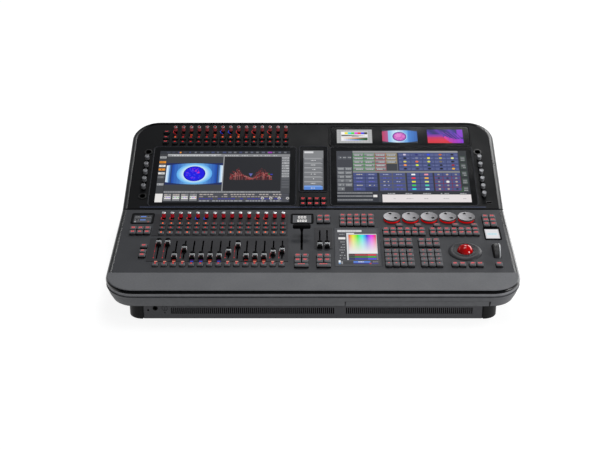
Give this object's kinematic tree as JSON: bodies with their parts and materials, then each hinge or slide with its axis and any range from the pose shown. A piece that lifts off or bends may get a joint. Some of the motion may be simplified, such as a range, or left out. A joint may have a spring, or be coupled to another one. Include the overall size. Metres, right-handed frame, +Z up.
{
  "type": "lighting control desk",
  "caption": "Stage lighting control desk with faders, keys, encoder wheels, trackball and touch display on a sloping deck, and a hinged screen pod behind it.",
  "frame": {"origin": "on the floor, under the middle of the footprint from the front lip to the rear rim", "axes": "+X is the operator's right, +Y is towards the back, +Z is up"},
  "size_m": [0.967, 0.6916, 0.2564],
  "materials": {
    "tray_metal": "fine black powder coat",
    "vent_panel_metal": "mid grey powder coat",
    "corner_plastic": "near black moulded plastic",
    "foot_rubber": "matt",
    "screw_steel": "black zinc",
    "connector_plastic": "satin",
    "supply_steel": "plain sheet",
    "circuit_board": "solder mask",
    "bumper_plastic": "dark satin to gloss",
    "palm_soft": "soft-touch",
    "panel_grey": "fine textured grey",
    "pod_charcoal": "fine textured charcoal",
    "inlay_dark": "satin film",
    "display_glass": "black cover glass",
    "light_red": "lit red light guide",
    "keyboard_plastic": "matt",
    "ring_plastic": "satin dark grey",
    "ball_resin": "polished red",
    "scroll_rubber": "ribbed, with satin metal side discs",
    "handle_black": "black",
    "fader_plastic": "black with a silver line",
    "wheel_metal": "spun satin",
    "knob_metal": "satin with a dark skirt",
    "key_plastic": "satin grey cap on a black skirt"
  },
  "bodies": {
    "base": {"base_tray": "tray_metal", "front_vent_panel": "vent_panel_metal", "base_corners": "corner_plastic", "rubber_feet": "foot_rubber", "screws": "screw_steel", "rear_connectors": "connector_plastic", "cooling_fans": "tray_metal", "power_supply": "supply_steel", "main_board": "circuit_board", "control_board": "circuit_board", "deck_bumper": "bumper_plastic", "palm_rest": "palm_soft", "deck_panel": "panel_grey", "control_inlays": "inlay_dark", "touch_display": "display_glass", "status_displays": "display_glass", "wheel_light_rings": "light_red", "hinge_brackets": "supply_steel"},
    "screen_pod": {"pod_shell": "pod_charcoal", "pod_bumper": "bumper_plastic", "pod_panel": "pod_charcoal", "main_screens": "display_glass", "centre_screen": "display_glass", "preview_screens": "display_glass", "lamp_sockets": "connector_plastic"},
    "drawer": {"keyboard_drawer": "bumper_plastic", "keyboard": "keyboard_plastic"},
    "ball_ring": {"trackball_ring": "ring_plastic"},
    "ball": {"trackball": "ball_resin"},
    "scroll": {"scroll_wheel": "scroll_rubber"},
    "master": {"master_fader": "handle_black"},
    "aux_left": {"aux_fader_left": "fader_plastic"},
    "aux_right": {"aux_fader_right": "fader_plastic"},
    "fader_01": {"playback_fader_01": "fader_plastic"},
    "fader_02": {"playback_fader_02": "fader_plastic"},
    "fader_03": {"playback_fader_03": "fader_plastic"},
    "fader_04": {"playback_fader_04": "fader_plastic"},
    "fader_05": {"playback_fader_05": "fader_plastic"},
    "fader_06": {"playback_fader_06": "fader_plastic"},
    "fader_07": {"playback_fader_07": "fader_plastic"},
    "fader_08": {"playback_fader_08": "fader_plastic"},
    "fader_09": {"playback_fader_09": "fader_plastic"},
    "fader_10": {"playback_fader_10": "fader_plastic"},
    "fader_11": {"playback_fader_11": "fader_plastic"},
    "fader_12": {"playback_fader_12": "fader_plastic"},
    "fader_13": {"playback_fader_13": "fader_plastic"},
    "fader_14": {"playback_fader_14": "fader_plastic"},
    "fader_15": {"playback_fader_15": "fader_plastic"},
    "wheel_1": {"encoder_wheel_1": "wheel_metal"},
    "wheel_2": {"encoder_wheel_2": "wheel_metal"},
    "wheel_3": {"encoder_wheel_3": "wheel_metal"},
    "wheel_4": {"encoder_wheel_4": "wheel_metal"},
    "wheel_5": {"encoder_wheel_5": "wheel_metal"},
    "deck_knob_bank": {"deck_encoders": "knob_metal"},
    "pod_knob_bank": {"pod_encoders": "knob_metal"},
    "side_knob_bank": {"side_knobs": "knob_metal"},
    "playback_key_bank": {"playback_keys": "key_plastic"},
    "programmer_key_bank": {"programmer_keys": "key_plastic"},
    "numeric_key_bank": {"numeric_keys": "key_plastic"},
    "pod_key_bank": {"pod_keys": "key_plastic"}
  },
  "joints": [
    {"name": "pod_tilt", "type": "hinge", "parent": "base", "child": "screen_pod", "pos_m": [0, 0.03611, 0.12695], "axis": [1, 0, 0], "range_deg": [0, 20]},
    {"name": "drawer_slide", "type": "slide", "parent": "base", "child": "drawer", "axis": [0, -0.9945, -0.1045], "range_m": [0, 0.13]},
    {"name": "ball_ring_spin", "type": "hinge", "parent": "base", "child": "ball_ring", "pos_m": [0.365, -0.17663, 0.11178], "axis": [0, -0.1045, 0.9945], "continuous": true},
    {"name": "ball_roll", "type": "hinge", "parent": "base", "child": "ball", "pos_m": [0.365, -0.17663, 0.11178], "axis": [1, 0, 0], "continuous": true},
    {"name": "scroll_spin", "type": "hinge", "parent": "base", "child": "scroll", "pos_m": [0.44, -0.17519, 0.10288], "axis": [1, 0, 0], "continuous": true},
    {"name": "master_slide", "type": "slide", "parent": "base", "child": "master", "axis": [0, 0.9945, 0.1045], "range_m": [-0.06, 0]},
    {"name": "aux_left_slide", "type": "slide", "parent": "base", "child": "aux_left", "axis": [0, 0.9945, 0.1045], "range_m": [0, 0.06]},
    {"name": "aux_right_slide", "type": "slide", "parent": "base", "child": "aux_right", "axis": [0, 0.9945, 0.1045], "range_m": [0, 0.06]},
    {"name": "fader_01_slide", "type": "slide", "parent": "base", "child": "fader_01", "axis": [0, 0.9945, 0.1045], "range_m": [-0.06, 0]},
    {"name": "fader_02_slide", "type": "slide", "parent": "base", "child": "fader_02", "axis": [0, 0.9945, 0.1045], "range_m": [-0.06, 0]},
    {"name": "fader_03_slide", "type": "slide", "parent": "base", "child": "fader_03", "axis": [0, 0.9945, 0.1045], "range_m": [0, 0.06]},
    {"name": "fader_04_slide", "type": "slide", "parent": "base", "child": "fader_04", "axis": [0, 0.9945, 0.1045], "range_m": [-0.0324, 0.0276]},
    {"name": "fader_05_slide", "type": "slide", "parent": "base", "child": "fader_05", "axis": [0, 0.9945, 0.1045], "range_m": [0, 0.06]},
    {"name": "fader_06_slide", "type": "slide", "parent": "base", "child": "fader_06", "axis": [0, 0.9945, 0.1045], "range_m": [0, 0.06]},
    {"name": "fader_07_slide", "type": "slide", "parent": "base", "child": "fader_07", "axis": [0, 0.9945, 0.1045], "range_m": [0, 0.06]},
    {"name": "fader_08_slide", "type": "slide", "parent": "base", "child": "fader_08", "axis": [0, 0.9945, 0.1045], "range_m": [0, 0.06]},
    {"name": "fader_09_slide", "type": "slide", "parent": "base", "child": "fader_09", "axis": [0, 0.9945, 0.1045], "range_m": [-0.0198, 0.0402]},
    {"name": "fader_10_slide", "type": "slide", "parent": "base", "child": "fader_10", "axis": [0, 0.9945, 0.1045], "range_m": [-0.0498, 0.0102]},
    {"name": "fader_11_slide", "type": "slide", "parent": "base", "child": "fader_11", "axis": [0, 0.9945, 0.1045], "range_m": [0, 0.06]},
    {"name": "fader_12_slide", "type": "slide", "parent": "base", "child": "fader_12", "axis": [0, 0.9945, 0.1045], "range_m": [0, 0.06]},
    {"name": "fader_13_slide", "type": "slide", "parent": "base", "child": "fader_13", "axis": [0, 0.9945, 0.1045], "range_m": [0, 0.06]},
    {"name": "fader_14_slide", "type": "slide", "parent": "base", "child": "fader_14", "axis": [0, 0.9945, 0.1045], "range_m": [-0.0156, 0.0444]},
    {"name": "fader_15_slide", "type": "slide", "parent": "base", "child": "fader_15", "axis": [0, 0.9945, 0.1045], "range_m": [-0.0246, 0.0354]},
    {"name": "wheel_1_spin", "type": "hinge", "parent": "base", "child": "wheel_1", "pos_m": [0.1973, -0.02446, 0.12777], "axis": [0, -0.1045, 0.9945], "continuous": true},
    {"name": "wheel_2_spin", "type": "hinge", "parent": "base", "child": "wheel_2", "pos_m": [0.2438, -0.02446, 0.12777], "axis": [0, -0.1045, 0.9945], "continuous": true},
    {"name": "wheel_3_spin", "type": "hinge", "parent": "base", "child": "wheel_3", "pos_m": [0.2903, -0.02446, 0.12777], "axis": [0, -0.1045, 0.9945], "continuous": true},
    {"name": "wheel_4_spin", "type": "hinge", "parent": "base", "child": "wheel_4", "pos_m": [0.3368, -0.02446, 0.12777], "axis": [0, -0.1045, 0.9945], "continuous": true},
    {"name": "wheel_5_spin", "type": "hinge", "parent": "base", "child": "wheel_5", "pos_m": [0.3833, -0.02446, 0.12777], "axis": [0, -0.1045, 0.9945], "continuous": true},
    {"name": "deck_encoders_push", "type": "slide", "parent": "base", "child": "deck_knob_bank", "axis": [0, 0.1045, -0.9945], "range_m": [0, 0.0008], "stiffness_N_per_m": 4000, "springref_m": -0.001},
    {"name": "pod_encoders_push", "type": "slide", "parent": "screen_pod", "child": "pod_knob_bank", "axis": [0, 0.3541, -0.9352], "range_m": [0, 0.0008], "stiffness_N_per_m": 4000, "springref_m": -0.001},
    {"name": "side_knobs_push", "type": "slide", "parent": "screen_pod", "child": "side_knob_bank", "axis": [0, 0.3541, -0.9352], "range_m": [0, 0.0008], "stiffness_N_per_m": 4000, "springref_m": -0.001},
    {"name": "playback_keys_press", "type": "slide", "parent": "base", "child": "playback_key_bank", "axis": [0, 0.1045, -0.9945], "range_m": [0, 0.002], "stiffness_N_per_m": 4000, "springref_m": -0.001},
    {"name": "programmer_keys_press", "type": "slide", "parent": "base", "child": "programmer_key_bank", "axis": [0, 0.1045, -0.9945], "range_m": [0, 0.002], "stiffness_N_per_m": 4000, "springref_m": -0.001},
    {"name": "numeric_keys_press", "type": "slide", "parent": "base", "child": "numeric_key_bank", "axis": [0, 0.1045, -0.9945], "range_m": [0, 0.002], "stiffness_N_per_m": 4000, "springref_m": -0.001},
    {"name": "pod_keys_press", "type": "slide", "parent": "screen_pod", "child": "pod_key_bank", "axis": [0, 0.3541, -0.9352], "range_m": [0, 0.002], "stiffness_N_per_m": 4000, "springref_m": -0.001}
  ]
}
